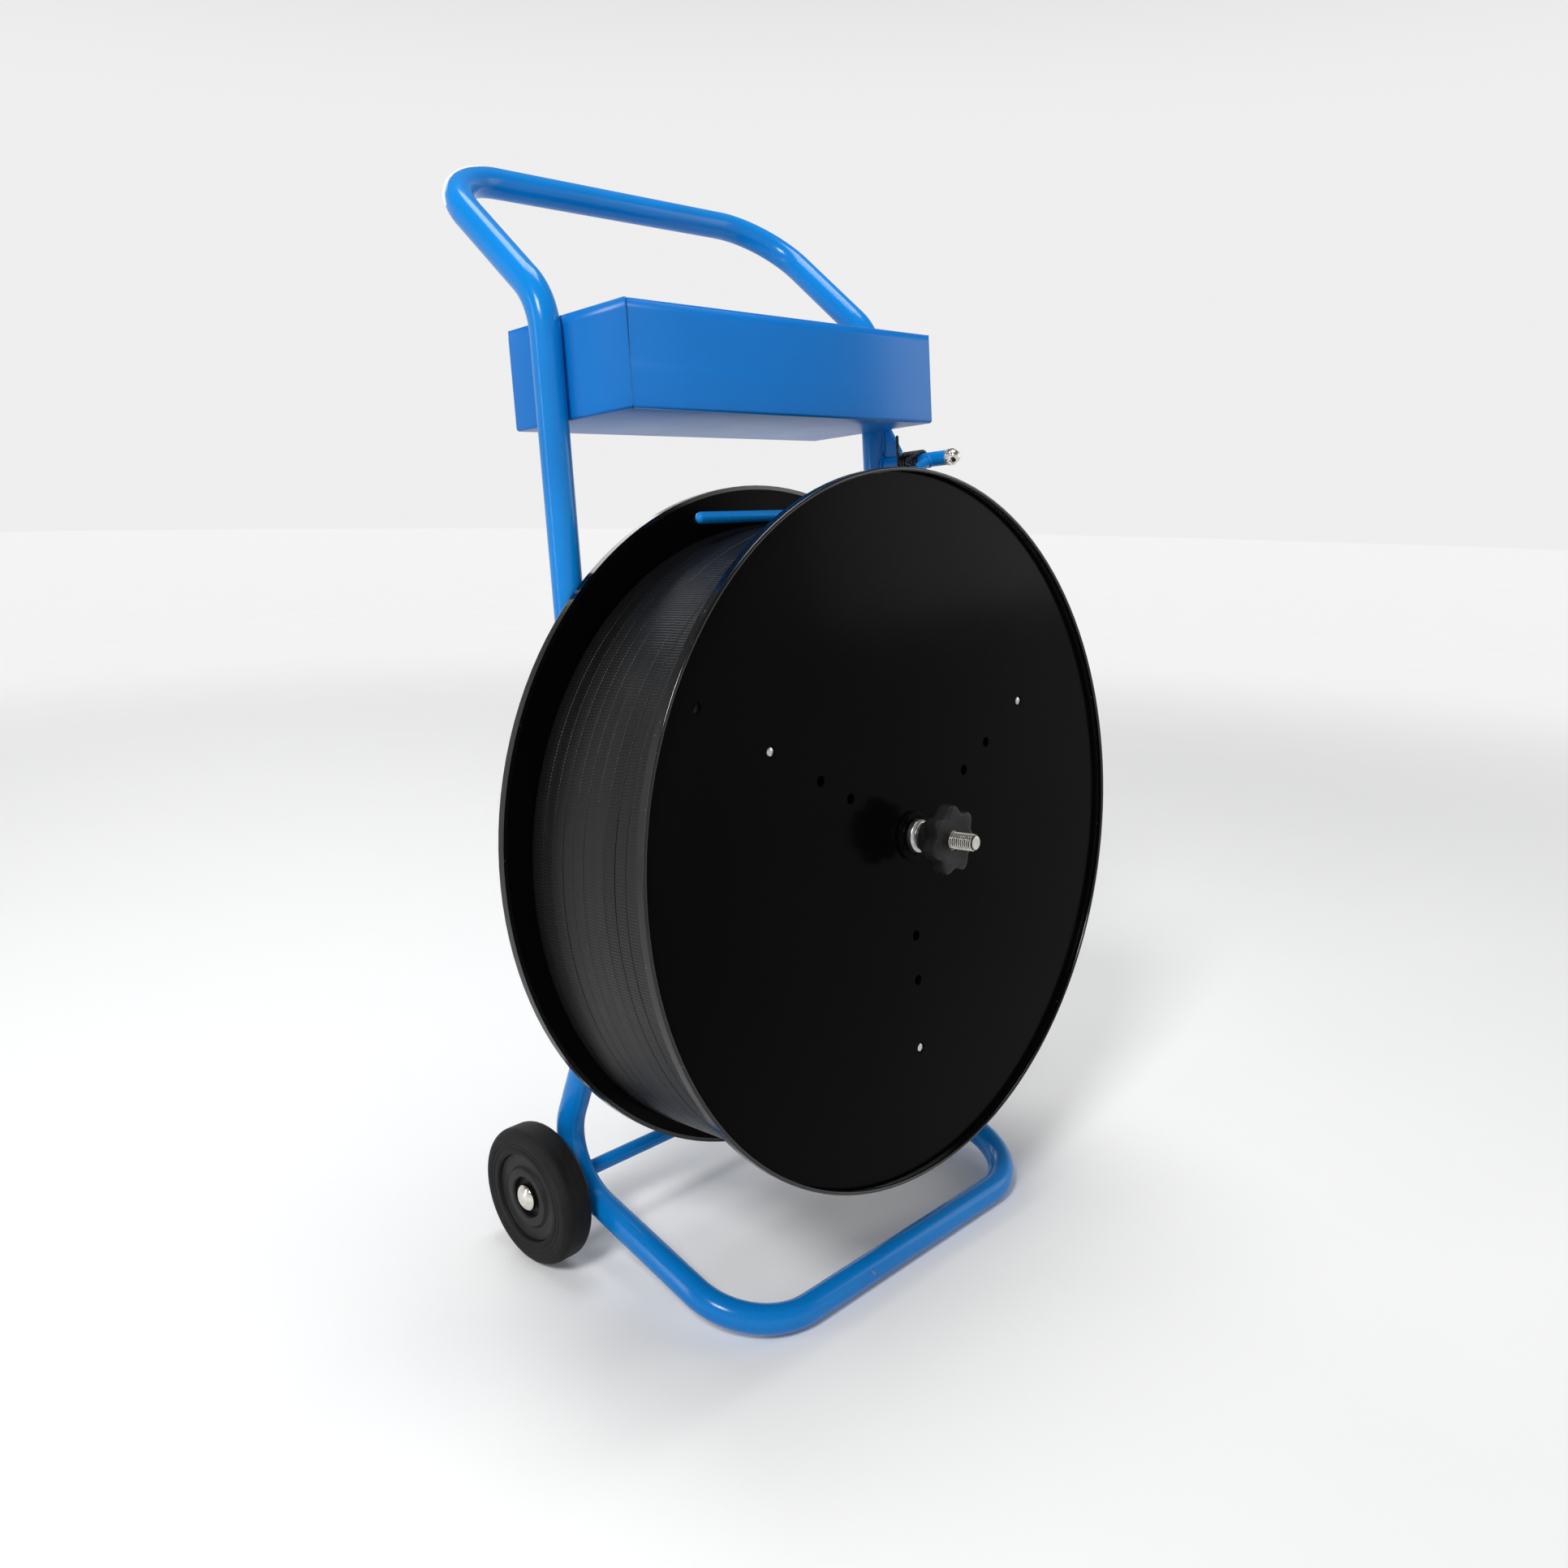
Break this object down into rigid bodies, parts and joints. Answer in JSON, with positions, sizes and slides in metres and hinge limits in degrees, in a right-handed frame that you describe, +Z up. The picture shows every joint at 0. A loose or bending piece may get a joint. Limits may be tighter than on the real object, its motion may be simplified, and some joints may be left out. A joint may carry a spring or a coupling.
{
  "type": "strapping reel cart",
  "caption": "Wheeled bent-tube cart carrying a flanged strap reel on a clamped axle, with a sprung hold-down arm and an open tool tray under the handle.",
  "frame": {"origin": "middle of the footprint on the floor: halfway between the handle's back and the axle's front tip, on the cart's centre plane", "axes": "+X to the hold-down arm's pivot side, +Y towards the handle, +Z up"},
  "size_m": [0.6, 0.4546, 0.9407],
  "materials": {
    "blue_paint": "glossy sky-blue powder coat",
    "blue_sheet": "glossy sky-blue powder coat on folded sheet",
    "black_paint": "gloss black stove enamel",
    "zinc": "bright zinc plate",
    "cap_metal": "polished nickel",
    "spring_steel": "dark oiled spring wire",
    "bush_plastic": "pale acetal",
    "core_board": "plain grey-brown board",
    "strap_plastic": "satin black polypropylene, fine cross ribs",
    "knob_plastic": "matt black moulding",
    "insert_brass": "turned brass",
    "rim_plastic": "satin black moulding",
    "tyre_rubber": "matt black solid rubber"
  },
  "bodies": {
    "frame": {"lower_frame": "blue_paint", "upper_frame": "blue_paint", "wheel_axle": "blue_paint", "wheel_spacers": "zinc", "wheel_caps": "cap_metal", "reel_crossbar": "blue_paint", "reel_axle": "zinc", "rear_washer": "zinc", "rear_nut": "zinc", "tool_tray": "blue_sheet", "brake_gusset": "blue_paint", "pivot_sleeve": "blue_paint", "pivot_stud": "zinc", "pivot_washer": "zinc", "acorn_nut": "cap_metal", "brake_spring": "spring_steel"},
    "hold_down_arm": {"arm_sleeve": "blue_paint", "hold_down_rod": "blue_paint"},
    "reel": {"rear_flange": "black_paint", "front_flange": "black_paint", "flange_collars": "black_paint", "hub_tube": "black_paint", "hub_bushes": "bush_plastic", "coil_supports": "zinc", "support_nuts": "zinc"},
    "coil": {"coil_core": "core_board", "strap_coil": "strap_plastic"},
    "clamp_bush": {"thrust_bush": "zinc"},
    "clamp_knob": {"star_knob": "knob_plastic", "knob_insert": "insert_brass"},
    "left_wheel": {"left_rim": "rim_plastic", "left_tyre": "tyre_rubber"},
    "right_wheel": {"right_rim": "rim_plastic", "right_tyre": "tyre_rubber"}
  },
  "joints": [
    {"name": "reel_spin", "type": "hinge", "parent": "frame", "child": "reel", "pos_m": [0, -0.16501, 0.39596], "axis": [0, 0.9945, -0.1045], "continuous": true},
    {"name": "coil_spin", "type": "hinge", "parent": "frame", "child": "coil", "pos_m": [0, -0.16621, 0.38452], "axis": [0, 0.9945, -0.1045], "continuous": true},
    {"name": "left_wheel_spin", "type": "hinge", "parent": "frame", "child": "left_wheel", "pos_m": [-0.234, 0.05829, 0.0625], "axis": [1, 0, 0], "continuous": true},
    {"name": "right_wheel_spin", "type": "hinge", "parent": "frame", "child": "right_wheel", "pos_m": [0.234, 0.05829, 0.0625], "axis": [1, 0, 0], "continuous": true},
    {"name": "arm_lift", "type": "hinge", "parent": "frame", "child": "hold_down_arm", "pos_m": [0.198, -0.0152, 0.70197], "axis": [0, 0.9945, -0.1045], "range_deg": [0, 12], "stiffness_Nm_per_rad": 1.2, "springref_deg": -28.65},
    {"name": "knob_travel", "type": "slide", "parent": "frame", "child": "clamp_bush", "axis": [0, -0.9945, 0.1045], "range_m": [0, 0.018]},
    {"name": "knob_turn", "type": "hinge", "parent": "clamp_bush", "child": "clamp_knob", "pos_m": [0, -0.16501, 0.39596], "axis": [0, -0.9945, 0.1045], "range_deg": [0, 3240]}
  ],
  "couplings": [
    {"joint": "coil_spin", "follows": "reel_spin", "ratio": 1},
    {"joint": "knob_travel", "follows": "knob_turn", "m_per_rad": 0.00031831}
  ]
}
